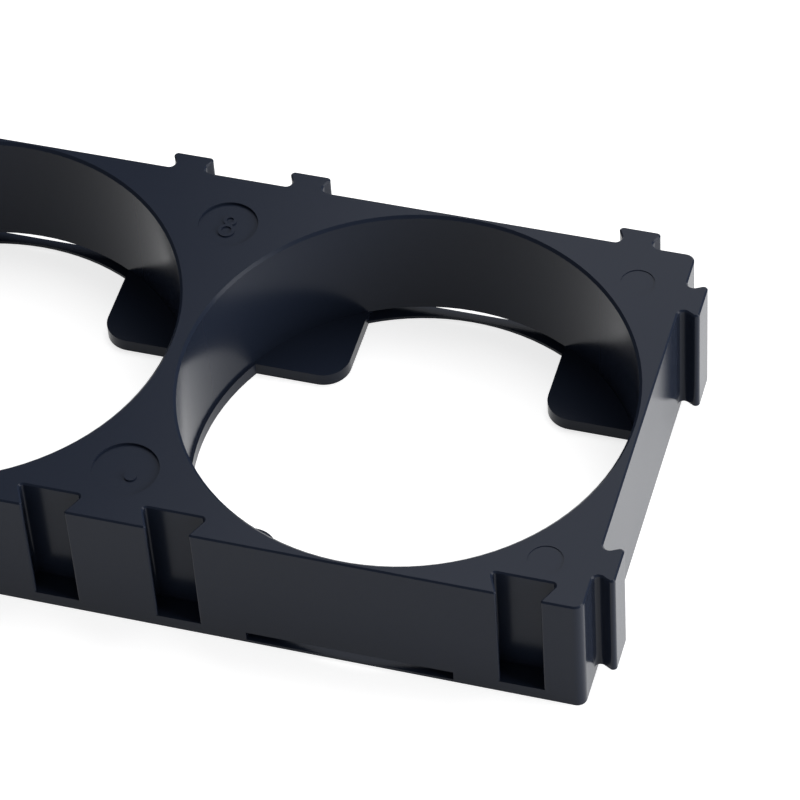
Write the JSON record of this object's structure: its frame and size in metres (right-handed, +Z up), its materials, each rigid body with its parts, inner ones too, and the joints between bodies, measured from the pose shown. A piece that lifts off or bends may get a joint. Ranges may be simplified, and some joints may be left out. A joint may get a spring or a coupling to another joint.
{
  "type": "battery cell holder bracket",
  "caption": "Moulded plastic bracket that holds round battery cells side by side in through bores, with dovetails for joining brackets and slots for weld strips.",
  "frame": {"origin": "bottom centre of the bounding box, on the plane the base stands on", "axes": "+X along the row of cells towards the end with the male keys, +Y towards the long side with the male keys, +Z up along the cells, from the lips to the open mouths of the bores"},
  "size_m": [0.069, 0.035, 0.0107],
  "materials": {
    "moulded_plastic": "moulded, semi-gloss"
  },
  "bodies": {
    "root": {"holder_bracket": "moulded_plastic"}
  },
  "joints": []
}
